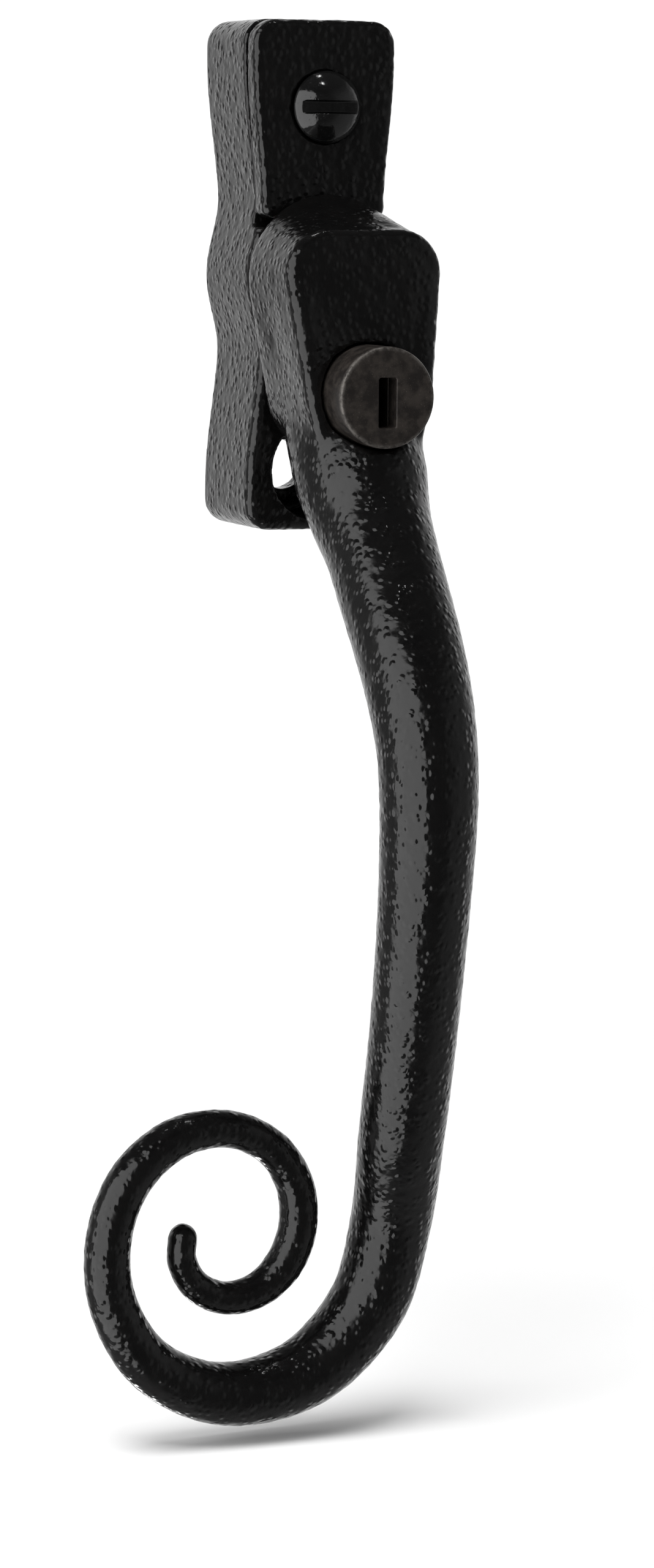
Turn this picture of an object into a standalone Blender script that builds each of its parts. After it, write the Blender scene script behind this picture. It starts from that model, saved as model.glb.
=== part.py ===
"""Locking monkeytail window handle, built as separate pieces.

The closed handle hangs down. +Z is up, the front faces -Y, and the back of the
base plate lies on the plane y = 0. The origin is on the spindle axis. Lengths in
the constants are millimetres, and put_in_scene turns them into metres.
"""
import math

import bmesh
import bpy
from mathutils import Vector

MM = 0.001

# Base plate: waisted outline, thick behind the lever, stepped back under the cover.
BASE_CENTRE_Z = 1.6
BASE_HALF_HEIGHT = 30.2
BASE_BELLY_HALF = 9.1
BASE_WAIST_HALF = 7.6
BASE_END_HALF = 9.15
WAIST_OFFSET = 9.4
FLARE_OFFSET = 26.0
BASE_CORNER = 3.0
BASE_FRONT_Y = -14.8
RECESS_Y = -12.8
HUB_PAD_RADIUS = 8.0
STEP_Z = 6.3
EDGE_ROUND = 0.6

# Fixing holes, 43 mm apart, and the deep pocket of the lower one.
FIXING_Z = 21.5
FIXING_HOLE = 2.9
POCKET_RADIUS = 5.95
POCKET_FLOOR_Y = -3.1
LOWER_HOLE = 3.0

# Cover plate over the upper half of the base.
COVER_REAR_Y = -13.1
COVER_FRONT_Y = -15.9
COVER_BOTTOM_Z = 8.4
COVER_INSET = 0.15
COVER_WAIST_GAIN = 0.35
COVER_CORNER = 1.4

# Upper fixing screw: raised countersunk head with a plain slot.
SCREW_HEAD = 4.25
SCREW_DOME = 2.2
SCREW_SHANK = 2.45
SCREW_END_Y = 14.0
SLOT_WIDTH = 1.8
SLOT_DEPTH = 1.0

# Lever head.
HEAD_REAR_Y = -16.4
HEAD_FRONT_Y = -31.0
HEAD_LEAN = 2.2
SPIGOT_RADIUS = 6.0
SPIGOT_END_Y = -9.2

# Spindle and its drive.
SPINDLE_HALF = 3.5
SPINDLE_FRONT_Y = -26.4
SPINDLE_END_Y = 12.0
SOCKET_HALF = 3.8
SQUARE_CHAMFER = 0.9

# Index mechanism inside the base.
CAVITY_FRONT_Y = -8.8
CAVITY_HALF_X = 6.05
CAVITY_HALF_Z = 6.9
CAVITY_RADIUS = 7.4
CAM_HALF = 5.0
CAM_CORNER = 6.2
SPRING_INNER_X = 5.3
SPRING_THICKNESS = 0.45
SPRING_HALF_LENGTH = 6.6

# Rear cover plate and its two rivets.
REAR_COVER_HALF_X = 6.2
REAR_COVER_HALF_Z = 9.9
REAR_COVER_RADIUS = 7.6
REAR_COVER_BACK_Y = -0.3
REAR_COVER_FRONT_Y = -1.5
RIVET_Z = 8.4

# Push lock in the lever, on its own axis below the spindle.
LOCK_Z = -11.8
LOCK_TRAVEL = 4.0
PLUNGER_RADIUS = 5.9
PLUNGER_FRONT_Y = -35.5
PLUNGER_REAR_Y = -23.1
PLUNGER_WALL = 2.4
PLUNGER_BORE = 4.3
LOCK_BORE = 6.2
LOCK_FLOOR_Y = -18.7
BOLT_RADIUS = 2.0
BOLT_HEAD_Y = -25.2
BOLT_TIP_Y = -16.7
SOCKET_FLOOR_Y = -12.0
KEY_WIDTH = 2.2
KEY_HEIGHT = 5.8
KEY_DROP = 0.6
PIN_Y = -25.2
GRUB_Y = -21.5

# Clearance left between two pieces that touch on the real handle.
GAP = 0.3

# Centreline of the neck and the grip: x, y, z and diameter.
GRIP_LINE = [
    (0.0, -23.4, -15.0, 15.2),
    (0.0, -27.5, -21.2, 15.6),
    (0.0, -30.8, -26.0, 14.1),
    (0.0, -34.0, -29.6, 13.1),
    (0.0, -38.2, -34.9, 12.8),
    (0.0, -42.2, -40.0, 12.5),
    (0.0, -45.5, -45.2, 12.1),
    (0.0, -47.8, -51.0, 11.6),
    (0.0, -48.5, -58.0, 11.3),
    (0.0, -47.8, -67.0, 10.8),
    (0.0, -46.3, -77.0, 10.4),
    (0.0, -44.3, -87.0, 10.2),
    (0.0, -41.8, -97.0, 10.1),
]

# Scroll: distance from its centre and bar diameter after each 30 degrees of turn.
SCROLL_X = -20.0
SCROLL_Y = -37.0
SCROLL_Z = -108.0
SCROLL_LEAD = (-1.0, -0.3)
SCROLL_TURNS = [
    (20.45, 9.6), (20.5, 9.25), (20.45, 8.5), (19.5, 7.45), (17.85, 6.35), (15.9, 5.65),
    (14.5, 5.35), (13.75, 5.2), (13.05, 4.85), (12.1, 4.4), (11.0, 4.35), (9.85, 4.5),
    (9.0, 4.6), (8.6, 4.55), (8.4, 4.2), (8.0, 3.9), (7.3, 3.65), (6.3, 3.5),
]
SCROLL_TIP_TURN = 536.0
SCROLL_TIP = (5.4, 3.4)
RING_SPACING = 2.3
TUBE_SIDES = 18


def clear_scene():
    """Remove every object that is already in the scene."""
    for item in list(bpy.data.objects):
        bpy.data.objects.remove(item, do_unlink=True)


def make_material(name, colour, metallic, roughness):
    """Make one Principled material."""
    material = bpy.data.materials.new(name)
    material.use_nodes = True
    shader = material.node_tree.nodes["Principled BSDF"]
    shader.inputs["Base Color"].default_value = (*colour, 1.0)
    shader.inputs["Metallic"].default_value = metallic
    shader.inputs["Roughness"].default_value = roughness
    return material


def put_in_scene(name, mesh_data, material=None, pivot=(0.0, 0.0, 0.0)):
    """Turn a bmesh in millimetres into an object whose origin is at the pivot."""
    bmesh.ops.recalc_face_normals(mesh_data, faces=mesh_data.faces)
    for vertex in mesh_data.verts:
        vertex.co = (vertex.co - Vector(pivot)) * MM
    mesh = bpy.data.meshes.new(name)
    mesh_data.to_mesh(mesh)
    mesh_data.free()
    item = bpy.data.objects.new(name, mesh)
    item.location = Vector(pivot) * MM
    bpy.context.collection.objects.link(item)
    if material is not None:
        mesh.materials.append(material)
    return item


def loft(rings):
    """Skin a list of rings of equal length and close both ends."""
    mesh_data = bmesh.new()
    rows = []
    for ring in rings:
        rows.append([mesh_data.verts.new(point) for point in ring])
    count = len(rows[0])
    for low, high in zip(rows, rows[1:]):
        for i in range(count):
            j = (i + 1) % count
            mesh_data.faces.new((low[i], low[j], high[j], high[i]))
    mesh_data.faces.new(rows[0])
    mesh_data.faces.new(rows[-1])
    return mesh_data


def at_y(outline, y):
    """Lift a list of (x, z) points to the plane at y."""
    return [(x, y, z) for x, z in outline]


def prism(outline, y0, y1):
    """Extrude an (x, z) outline from y0 to y1."""
    return loft([at_y(outline, y0), at_y(outline, y1)])


def circle(radius, x=0.0, z=0.0, sides=32):
    """Points of a circle around (x, z)."""
    step = 2.0 * math.pi / sides
    return [(x + radius * math.cos(i * step), z + radius * math.sin(i * step)) for i in range(sides)]


def turned(profile, x=0.0, z=0.0, sides=32):
    """Solid turned about an axis along Y: the profile lists (radius, y)."""
    return loft([at_y(circle(radius, x, z, sides), y) for radius, y in profile])


def turned_along_x(profile, y, z, sides=16):
    """Solid turned about an axis along X: the profile lists (radius, x)."""
    rings = []
    for radius, x in profile:
        rings.append([(x, y + a, z + b) for a, b in circle(radius, sides=sides)])
    return loft(rings)


def ring_solid(outer, inner):
    """A ring between two closed loops of rings, given as matching lists of points."""
    mesh_data = bmesh.new()
    rows = []
    for points in (outer[0], outer[1], inner[1], inner[0]):
        rows.append([mesh_data.verts.new(point) for point in points])
    count = len(rows[0])
    for k in range(4):
        low = rows[k]
        high = rows[(k + 1) % 4]
        for i in range(count):
            j = (i + 1) % count
            mesh_data.faces.new((low[i], low[j], high[j], high[i]))
    return mesh_data


def washer(inner, outer, y0, y1, sides=32):
    """A flat ring about the spindle axis."""
    wide = circle(outer, sides=sides)
    narrow = circle(inner, sides=sides)
    return ring_solid((at_y(wide, y0), at_y(wide, y1)), (at_y(narrow, y0), at_y(narrow, y1)))


def inset(outline, amount):
    """Move each point of a counter-clockwise outline inwards along its normal."""
    moved = []
    count = len(outline)
    for i, (x, z) in enumerate(outline):
        before = outline[i - 1]
        after = outline[(i + 1) % count]
        along = Vector((after[0] - before[0], after[1] - before[1])).normalized()
        moved.append((x - along.y * amount, z + along.x * amount))
    return moved


def rounded_plate(outline, y_rear, y_front, edge):
    """Plate from y_rear forward to y_front, with its front edge rounded."""
    rings = [at_y(outline, y_rear)]
    for angle in (0.0, 30.0, 60.0, 90.0):
        turn = math.radians(angle)
        ring = inset(outline, edge * (1.0 - math.cos(turn)))
        rings.append(at_y(ring, y_front + edge * (1.0 - math.sin(turn))))
    return loft(rings)


def base_half_width(z, waist_gain=0.0):
    """Half width of the base outline at height z, with its waist filled out by waist_gain."""
    waist = BASE_WAIST_HALF + waist_gain
    distance = abs(z - BASE_CENTRE_Z)
    if distance < WAIST_OFFSET:
        share = 0.5 + 0.5 * math.cos(math.pi * distance / WAIST_OFFSET)
        return waist + (BASE_BELLY_HALF - waist) * share
    t = min((distance - WAIST_OFFSET) / (FLARE_OFFSET - WAIST_OFFSET), 1.0)
    share = 0.5 * math.sin(math.pi * t / 2.0) + 0.25 * (1.0 - math.cos(math.pi * t))
    return waist + (BASE_END_HALF - waist) * share


def corner_arc(x, z, radius, start, sides=5):
    """Points of a quarter circle that begins at the angle start, in degrees."""
    angles = [math.radians(start + 90.0 * i / sides) for i in range(sides + 1)]
    return [(x + radius * math.cos(a), z + radius * math.sin(a)) for a in angles]


def waisted_outline(bottom, top, bottom_corner, top_corner, shrink=0.0, gain=0.0, steps=26):
    """Counter-clockwise outline between two heights, following the base's waist."""
    low = bottom + bottom_corner
    high = top - top_corner
    heights = [low + (high - low) * i / steps for i in range(steps + 1)]
    right = [(base_half_width(z, gain) - shrink, z) for z in heights[1:-1]]
    low_x = base_half_width(low, gain) - shrink - bottom_corner
    high_x = base_half_width(high, gain) - shrink - top_corner
    points = corner_arc(low_x, low, bottom_corner, -90.0)
    points += right
    points += corner_arc(high_x, high, top_corner, 0.0)
    points += corner_arc(-high_x, high, top_corner, 90.0)
    points += [(-x, z) for x, z in reversed(right)]
    points += corner_arc(-low_x, low, bottom_corner, 180.0)
    return points


def chamfered_square(half, chamfer):
    """Square outline with its four corners cut off."""
    near = half - chamfer
    return [
        (half, -near), (half, near), (near, half), (-near, half),
        (-half, near), (-half, -near), (-near, -half), (near, -half),
    ]


def rectangle(half_x, half_z, x=0.0, z=0.0):
    """Rectangle outline around (x, z)."""
    return [(x - half_x, z - half_z), (x + half_x, z - half_z),
            (x + half_x, z + half_z), (x - half_x, z + half_z)]


def lobed_box(half_x, half_z, radius, sides=8):
    """Rectangle whose long sides bulge out along a circle about its centre."""
    limit = math.acos(half_x / radius)
    lobe = [-limit + 2.0 * limit * i / sides for i in range(sides + 1)]
    right = [(radius * math.cos(a), radius * math.sin(a)) for a in lobe]
    left = [(-x, -z) for x, z in right]
    return ([(half_x, -half_z)] + right + [(half_x, half_z), (-half_x, half_z)]
            + left + [(-half_x, -half_z)])


def subtract(target, cutters):
    """Cut each listed bmesh out of the target, keeping the cutters as hidden wires."""
    apply_boolean(target, cutters, "DIFFERENCE")


def join(target, additions):
    """Fuse each listed bmesh with the target."""
    apply_boolean(target, additions, "UNION")


def apply_boolean(target, tools, operation):
    """Add one exact boolean modifier for each tool."""
    for tool_mesh in tools:
        number = len(target.modifiers) + 1
        tool = put_in_scene(f"{target.name}_tool_{number}", tool_mesh)
        tool.hide_render = True
        tool.display_type = "WIRE"
        modifier = target.modifiers.new(f"{operation.lower()}_{number}", "BOOLEAN")
        modifier.operation = operation
        modifier.solver = "EXACT"
        modifier.object = tool


def hull_point(circles, angle):
    """Point where the hull of some circles has its normal at the given angle."""
    direction = Vector((math.cos(angle), math.sin(angle)))
    best = max(circles, key=lambda c: c[0] * direction.x + c[1] * direction.y + c[2])
    return Vector((best[0], best[1])) + direction * best[2]


def pinch(point, depth):
    """Draw the sides of the head in a little between the spindle and the lock."""
    share = math.exp(-((point.y + 5.6) / 4.2) ** 2)
    return Vector((point.x * (1.0 - depth * share), point.y))


def lean(z):
    """How far the front of the head steps back above the lock."""
    t = min(max((z + 12.5) / 11.0, 0.0), 1.0)
    return HEAD_LEAN * t * t * (3.0 - 2.0 * t)


def head_mesh():
    """Lever head: a round back that turns into a squarer front face."""
    rear = [(0.0, 1.2, 10.1), (0.0, LOCK_Z, 7.7)]
    front = [
        (-4.6, 3.9, 3.3), (4.6, 3.9, 3.3), (-4.6, 2.2, 5.2), (4.6, 2.2, 5.2),
        (-2.6, LOCK_Z, 5.4), (2.6, LOCK_Z, 5.4), (0.0, -14.5, 7.2),
    ]
    stages = [
        (HEAD_REAR_Y, 0.0, 0.6), (HEAD_REAR_Y - 0.25, 0.0, 0.18), (HEAD_REAR_Y - 0.7, 0.0, 0.0),
        (-21.0, 0.3, 0.0), (-25.8, 0.72, 0.0), (-29.0, 1.0, 0.0),
        (-30.0, 1.0, 0.25), (-30.7, 1.0, 0.85), (HEAD_FRONT_Y, 1.0, 1.7),
    ]
    angles = [2.0 * math.pi * (i + 0.5) / 48 for i in range(48)]
    rings = []
    for y, share, edge in stages:
        ring = []
        for angle in angles:
            point = hull_point(rear, angle).lerp(hull_point(front, angle), share)
            point = pinch(point, 0.02 + 0.075 * share)
            point -= Vector((math.cos(angle), math.sin(angle))) * edge
            ring.append((point.x, y + share * lean(point.y), point.y))
        rings.append(ring)
    return loft(rings)


def curve_value(values, position):
    """Catmull-Rom value of a list of numbers at a fractional position."""
    last = len(values) - 1
    k = min(int(position), last - 1)
    t = position - k
    p1 = values[k]
    p2 = values[k + 1]
    p0 = values[k - 1] if k > 0 else 2.0 * p1 - p2
    p3 = values[k + 2] if k + 2 <= last else 2.0 * p2 - p1
    slope = p2 - p0
    square = 2.0 * p0 - 5.0 * p1 + 4.0 * p2 - p3
    cubic = 3.0 * p1 - p0 - 3.0 * p2 + p3
    return p1 + 0.5 * (slope * t + square * t * t + cubic * t ** 3)


def scroll_row(turn, distance, diameter, lead=0.0):
    """Row of the bar's line at a turn of the scroll, in degrees from its start."""
    angle = math.radians(turn)
    x = SCROLL_X + distance * math.cos(angle)
    return (x, SCROLL_Y + lead, SCROLL_Z - distance * math.sin(angle), diameter)


def bar_rows():
    """Rows of the whole line, from the head to the tip of the scroll."""
    rows = list(GRIP_LINE)
    for i, (distance, diameter) in enumerate(SCROLL_TURNS):
        lead = SCROLL_LEAD[i] if i < len(SCROLL_LEAD) else 0.0
        rows.append(scroll_row(30.0 * i, distance, diameter, lead))
    rows.append(scroll_row(SCROLL_TIP_TURN, *SCROLL_TIP))
    return rows


def line_point(rows, position):
    """Centre and radius of the bar at a fractional position."""
    values = [curve_value([row[i] for row in rows], position) for i in range(4)]
    return Vector(values[:3]), values[3] / 2.0


def grip_mesh():
    """Neck, grip and scroll: one tapering round bar with a rounded end."""
    rows = bar_rows()
    stations = []
    position = 0.0
    last = len(rows) - 1.0
    while position < last:
        stations.append(position)
        here, radius = line_point(rows, position)
        ahead, _ = line_point(rows, min(position + 0.01, last))
        speed = max((ahead - here).length / 0.01, 0.1)
        position += min(RING_SPACING, 1.0 + 0.3 * radius) / speed
    centres = [line_point(rows, s) for s in stations]
    end, end_radius = line_point(rows, last)
    heading = (end - centres[-1][0]).normalized()
    if (end - centres[-1][0]).length < 0.8:
        centres.pop()
    for degrees in (0.0, 30.0, 55.0, 75.0):
        turn = math.radians(degrees)
        centre = end + heading * end_radius * math.sin(turn)
        centres.append((centre, end_radius * math.cos(turn)))
    side = Vector((1.0, 0.0, 0.0))
    rings = []
    for i, (centre, radius) in enumerate(centres):
        before = centres[max(i - 1, 0)][0]
        after = centres[min(i + 1, len(centres) - 1)][0]
        along = (after - before).normalized()
        side = (side - along * side.dot(along)).normalized()
        across = along.cross(side)
        ring = []
        for k in range(TUBE_SIDES):
            angle = 2.0 * math.pi * k / TUBE_SIDES
            ring.append(centre + (side * math.cos(angle) + across * math.sin(angle)) * radius)
        rings.append(ring)
    return loft(rings)


def build_base(metal):
    """Base plate with its pockets, fixing holes and mechanism cavity."""
    bottom = BASE_CENTRE_Z - BASE_HALF_HEIGHT
    top = BASE_CENTRE_Z + BASE_HALF_HEIGHT
    outline = waisted_outline(bottom, top, BASE_CORNER, BASE_CORNER)
    base = put_in_scene("base_plate", rounded_plate(outline, 0.0, BASE_FRONT_Y, EDGE_ROUND), metal)
    pad_edge = math.degrees(math.asin(STEP_Z / HUB_PAD_RADIUS))
    pad = []
    for i in range(13):
        angle = math.radians(180.0 - pad_edge - (180.0 - 2.0 * pad_edge) * i / 12)
        pad.append((HUB_PAD_RADIUS * math.cos(angle), HUB_PAD_RADIUS * math.sin(angle)))
    step = [(-14.0, STEP_Z)] + pad + [(14.0, STEP_Z), (14.0, 40.0), (-14.0, 40.0)]
    pocket = [(POCKET_RADIUS, -20.0), (POCKET_RADIUS, POCKET_FLOOR_Y),
              (LOWER_HOLE, POCKET_FLOOR_Y), (LOWER_HOLE, 5.0)]
    subtract(base, [
        prism(step, -20.0, RECESS_Y),
        prism(lobed_box(CAVITY_HALF_X, CAVITY_HALF_Z, CAVITY_RADIUS), CAVITY_FRONT_Y, 5.0),
        turned([(CAVITY_RADIUS, -20.0), (CAVITY_RADIUS, CAVITY_FRONT_Y + 1.0)], sides=40),
        prism(lobed_box(REAR_COVER_HALF_X + GAP, REAR_COVER_HALF_Z + GAP, REAR_COVER_RADIUS + GAP),
              REAR_COVER_FRONT_Y - GAP, 5.0),
        turned([(FIXING_HOLE, -20.0), (FIXING_HOLE, 5.0)], z=FIXING_Z, sides=28),
        turned(pocket, z=-FIXING_Z, sides=36),
        turned([(BOLT_RADIUS + 0.5, -20.0), (BOLT_RADIUS + 0.5, SOCKET_FLOOR_Y)], z=LOCK_Z, sides=20),
        turned([(1.2, -5.3), (1.2, 5.0)], z=RIVET_Z, sides=14),
        turned([(1.2, -5.3), (1.2, 5.0)], z=-RIVET_Z, sides=14),
    ])


def build_cover(metal):
    """Cover plate with a countersunk hole for the upper screw."""
    top = BASE_CENTRE_Z + BASE_HALF_HEIGHT - COVER_INSET
    corner = BASE_CORNER - COVER_INSET
    outline = waisted_outline(COVER_BOTTOM_Z, top, COVER_CORNER, corner, COVER_INSET, COVER_WAIST_GAIN, 14)
    cover = put_in_scene("cover_plate", rounded_plate(outline, COVER_REAR_Y, COVER_FRONT_Y, 0.5), metal)
    sink = [(4.5, -20.0), (4.5, COVER_FRONT_Y), (FIXING_HOLE, COVER_FRONT_Y + 1.7), (FIXING_HOLE, 5.0)]
    subtract(cover, [turned(sink, z=FIXING_Z, sides=32)])


def build_screw(metal):
    """Raised countersunk screw that clamps the cover and the base to the window."""
    rim_rear = COVER_FRONT_Y - GAP
    rim_front = rim_rear - 0.4
    sphere = (SCREW_HEAD ** 2 + SCREW_DOME ** 2) / (2.0 * SCREW_DOME)
    reach = math.asin(SCREW_HEAD / sphere)
    profile = [(0.3 * SCREW_SHANK, SCREW_END_Y), (SCREW_SHANK - 0.5, SCREW_END_Y),
               (SCREW_SHANK, SCREW_END_Y - 0.6), (SCREW_SHANK, rim_rear + 1.6),
               (4.0, rim_rear), (SCREW_HEAD, rim_rear), (SCREW_HEAD, rim_front)]
    for i in range(1, 6):
        angle = reach * (1.0 - i / 6.0)
        height = sphere * (math.cos(angle) - math.cos(reach))
        profile.append((sphere * math.sin(angle), rim_front - height))
    screw = put_in_scene("upper_fixing_screw", turned(profile, z=FIXING_Z), metal)
    slot_floor = rim_front - SCREW_DOME + SLOT_DEPTH
    slot = rectangle(6.0, SLOT_WIDTH / 2.0, z=FIXING_Z)
    subtract(screw, [prism(slot, slot_floor, -28.0)])


def build_lever(metal):
    """Lever: head, spigot, neck, grip and scroll in one casting, bored for its parts."""
    lever = put_in_scene("lever", head_mesh(), metal)
    join(lever, [
        grip_mesh(),
        turned([(SPIGOT_RADIUS, -18.0), (SPIGOT_RADIUS, SPIGOT_END_Y)], sides=36),
    ])
    bore = [(LOCK_BORE, -45.0), (LOCK_BORE, LOCK_FLOOR_Y),
            (BOLT_RADIUS + 0.4, LOCK_FLOOR_Y), (BOLT_RADIUS + 0.4, -10.0)]
    subtract(lever, [
        turned(bore, z=LOCK_Z, sides=40),
        prism(chamfered_square(SOCKET_HALF, SQUARE_CHAMFER), SPINDLE_FRONT_Y - GAP, -5.0),
        turned_along_x([(2.3, 1.0), (2.3, 14.0)], GRUB_Y, 0.0),
        turned_along_x([(1.2, 5.0), (1.2, 12.0)], PIN_Y, LOCK_Z, 14),
    ])


def build_spindle(steel):
    """Square spindle with a groove across its corners for the retaining clip."""
    outline = chamfered_square(SPINDLE_HALF, SQUARE_CHAMFER)
    small = chamfered_square(SPINDLE_HALF - 0.5, SQUARE_CHAMFER)
    rings = [at_y(outline, SPINDLE_FRONT_Y), at_y(outline, SPINDLE_END_Y - 0.5), at_y(small, SPINDLE_END_Y)]
    spindle = put_in_scene("spindle", loft(rings), steel)
    subtract(spindle, [washer(3.8, 7.0, -3.8, -2.4, 40)])


def build_grub_screw(steel):
    """Grub screw that locks the spindle in the lever, with a hexagon socket."""
    profile = [(1.4, 3.8), (2.0, 4.4), (2.0, 8.7), (1.7, 9.0)]
    grub = put_in_scene("spindle_grub_screw", turned_along_x(profile, GRUB_Y, 0.0, 18), steel)
    subtract(grub, [turned_along_x([(1.15, 6.6), (1.15, 12.0)], GRUB_Y, 0.0, 6)])


def build_hub_parts(nylon, steel):
    """Bush, thrust washer, wave washer and clip on the lever's axis."""
    put_in_scene("hub_bush", washer(SPIGOT_RADIUS + GAP, CAVITY_RADIUS - GAP, -14.5, -9.1, 36), nylon)
    put_in_scene("thrust_washer", washer(SPIGOT_RADIUS + 0.4, 7.8, -16.1, -15.1, 36), nylon)
    rings = {"outer": ([], []), "inner": ([], [])}
    for i in range(36):
        angle = 2.0 * math.pi * i / 36
        wave = -3.98 + 0.12 * math.cos(3.0 * angle)
        for radius, side in ((6.0, rings["outer"]), (4.9, rings["inner"])):
            x = radius * math.cos(angle)
            z = radius * math.sin(angle)
            side[0].append((x, wave - 0.15, z))
            side[1].append((x, wave + 0.0, z))
    put_in_scene("wave_washer", ring_solid(rings["outer"], rings["inner"]), steel)
    outer = []
    inner = []
    for i in range(25):
        angle = math.radians(-60.0 + 300.0 * i / 24)
        outer.append((5.9 * math.cos(angle), 5.9 * math.sin(angle)))
        inner.append((4.1 * math.cos(angle), 4.1 * math.sin(angle)))
    put_in_scene("retaining_clip", prism(outer + inner[::-1], -3.5, -2.7), steel)


def build_index_parts(steel):
    """Square cam on the spindle and the two flat springs that press on it."""
    outline = []
    for i in range(64):
        angle = 2.0 * math.pi * (i + 0.5) / 64
        flat = CAM_HALF / max(abs(math.cos(angle)), abs(math.sin(angle)))
        radius = min(flat, CAM_CORNER)
        outline.append((radius * math.cos(angle), radius * math.sin(angle)))
    cam = put_in_scene("index_cam", prism(outline, -8.5, -4.6), steel)
    subtract(cam, [prism(chamfered_square(SOCKET_HALF, SQUARE_CHAMFER), -10.0, -2.0)])
    for name, sign in (("index_spring_left", -1.0), ("index_spring_right", 1.0)):
        middle = sign * (SPRING_INNER_X + SPRING_THICKNESS / 2.0)
        strip = rectangle(SPRING_THICKNESS / 2.0, SPRING_HALF_LENGTH, x=middle)
        put_in_scene(name, prism(strip, -8.4, -4.8), steel)


def build_rear_cover(steel):
    """Steel plate that closes the mechanism cavity, and its two rivets."""
    outline = lobed_box(REAR_COVER_HALF_X, REAR_COVER_HALF_Z, REAR_COVER_RADIUS)
    plate = put_in_scene("rear_cover", prism(outline, REAR_COVER_FRONT_Y, REAR_COVER_BACK_Y), steel)
    subtract(plate, [
        turned([(5.2, -4.0), (5.2, 4.0)], sides=32),
        turned([(1.2, -4.0), (1.2, 4.0)], z=RIVET_Z, sides=14),
        turned([(1.2, -4.0), (1.2, 4.0)], z=-RIVET_Z, sides=14),
    ])
    profile = [(0.6, -5.0), (0.9, -4.7), (0.9, REAR_COVER_BACK_Y)]
    put_in_scene("upper_rivet", turned(profile, z=RIVET_Z, sides=14), steel)
    put_in_scene("lower_rivet", turned(profile, z=-RIVET_Z, sides=14), steel)


def build_lock(gunmetal, steel):
    """Push lock: plunger, keyed core, bolt, return spring and retaining pin."""
    axis = (0.0, 0.0, LOCK_Z)
    edge = 0.35
    profile = [(PLUNGER_RADIUS - edge, PLUNGER_FRONT_Y), (PLUNGER_RADIUS, PLUNGER_FRONT_Y + edge),
               (PLUNGER_RADIUS, PLUNGER_REAR_Y)]
    plunger = put_in_scene("lock_plunger", turned(profile, z=LOCK_Z, sides=44), gunmetal, axis)
    keyway = rectangle(KEY_WIDTH / 2.0, KEY_HEIGHT / 2.0, z=LOCK_Z - KEY_DROP)
    cavity_front = PLUNGER_FRONT_Y + PLUNGER_WALL
    pin_slot_front = PIN_Y - LOCK_TRAVEL - 1.3
    subtract(plunger, [
        turned([(PLUNGER_BORE, cavity_front), (PLUNGER_BORE, -18.0)], z=LOCK_Z, sides=36),
        prism(keyway, -45.0, cavity_front + 1.0),
        prism(rectangle(1.5, 1.3, x=6.6, z=LOCK_Z), pin_slot_front, PIN_Y + 1.3),
    ])
    core_front = cavity_front + GAP
    core_profile = [(4.0, core_front), (4.0, BOLT_HEAD_Y - 2.0)]
    core = put_in_scene("lock_core", turned(core_profile, z=LOCK_Z, sides=32), steel, axis)
    subtract(core, [prism(keyway, -45.0, core_front + 4.0)])
    profile = [(4.0, BOLT_HEAD_Y - 1.7), (4.0, BOLT_HEAD_Y), (BOLT_RADIUS, BOLT_HEAD_Y),
               (BOLT_RADIUS, BOLT_TIP_Y - 0.5), (BOLT_RADIUS - 0.5, BOLT_TIP_Y)]
    put_in_scene("lock_bolt", turned(profile, z=LOCK_Z, sides=28), steel, axis)
    put_in_scene("lock_spring", coil_mesh(3.1, 0.3, BOLT_HEAD_Y + 0.6, LOCK_FLOOR_Y - 0.6, 3.0), steel, axis)
    pin = turned_along_x([(0.7, 5.4), (0.9, 5.6), (0.9, 7.2)], PIN_Y, LOCK_Z, 14)
    put_in_scene("lock_retaining_pin", pin, steel)


def coil_mesh(radius, wire, y_front, y_rear, turns):
    """Round-wire compression spring about the lock axis."""
    steps = int(turns * 20)
    rings = []
    for i in range(steps + 1):
        angle = 2.0 * math.pi * turns * i / steps
        y = y_front + (y_rear - y_front) * i / steps
        out = Vector((math.cos(angle), 0.0, math.sin(angle)))
        ring = []
        for k in range(8):
            turn = 2.0 * math.pi * k / 8
            point = out * (radius + wire * math.cos(turn))
            ring.append((point.x, y + wire * math.sin(turn), LOCK_Z + point.z))
        rings.append(ring)
    return loft(rings)


clear_scene()
black = make_material("black_powder_coat", (0.012, 0.012, 0.013), 0.0, 0.35)
black_screw = make_material("black_screw_finish", (0.015, 0.015, 0.016), 0.3, 0.18)
gunmetal = make_material("gunmetal_lock", (0.10, 0.09, 0.08), 0.9, 0.42)
steel = make_material("zinc_plated_steel", (0.55, 0.55, 0.53), 1.0, 0.35)
spring_steel = make_material("spring_steel", (0.30, 0.30, 0.31), 1.0, 0.35)
nylon = make_material("white_nylon", (0.75, 0.74, 0.70), 0.0, 0.5)
build_base(black)
build_cover(black)
build_screw(black_screw)
build_lever(black)
build_spindle(steel)
build_grub_screw(spring_steel)
build_hub_parts(nylon, spring_steel)
build_index_parts(spring_steel)
build_rear_cover(steel)
build_lock(gunmetal, steel)
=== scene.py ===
# %% [markdown]
# # A locking monkeytail window handle
#
# The real object is a zinc casting with a thick, glossy black powder coat: a waisted
# base plate, a cover plate with one slotted screw, and a lever whose round grip runs
# down into a scroll. A gunmetal push lock sits in the lever's head.
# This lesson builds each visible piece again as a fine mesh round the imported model,
# gives it a procedural finish, and lights it like a small studio product.

import math

import bmesh
import bpy
import numpy as np
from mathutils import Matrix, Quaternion, Vector, noise


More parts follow.
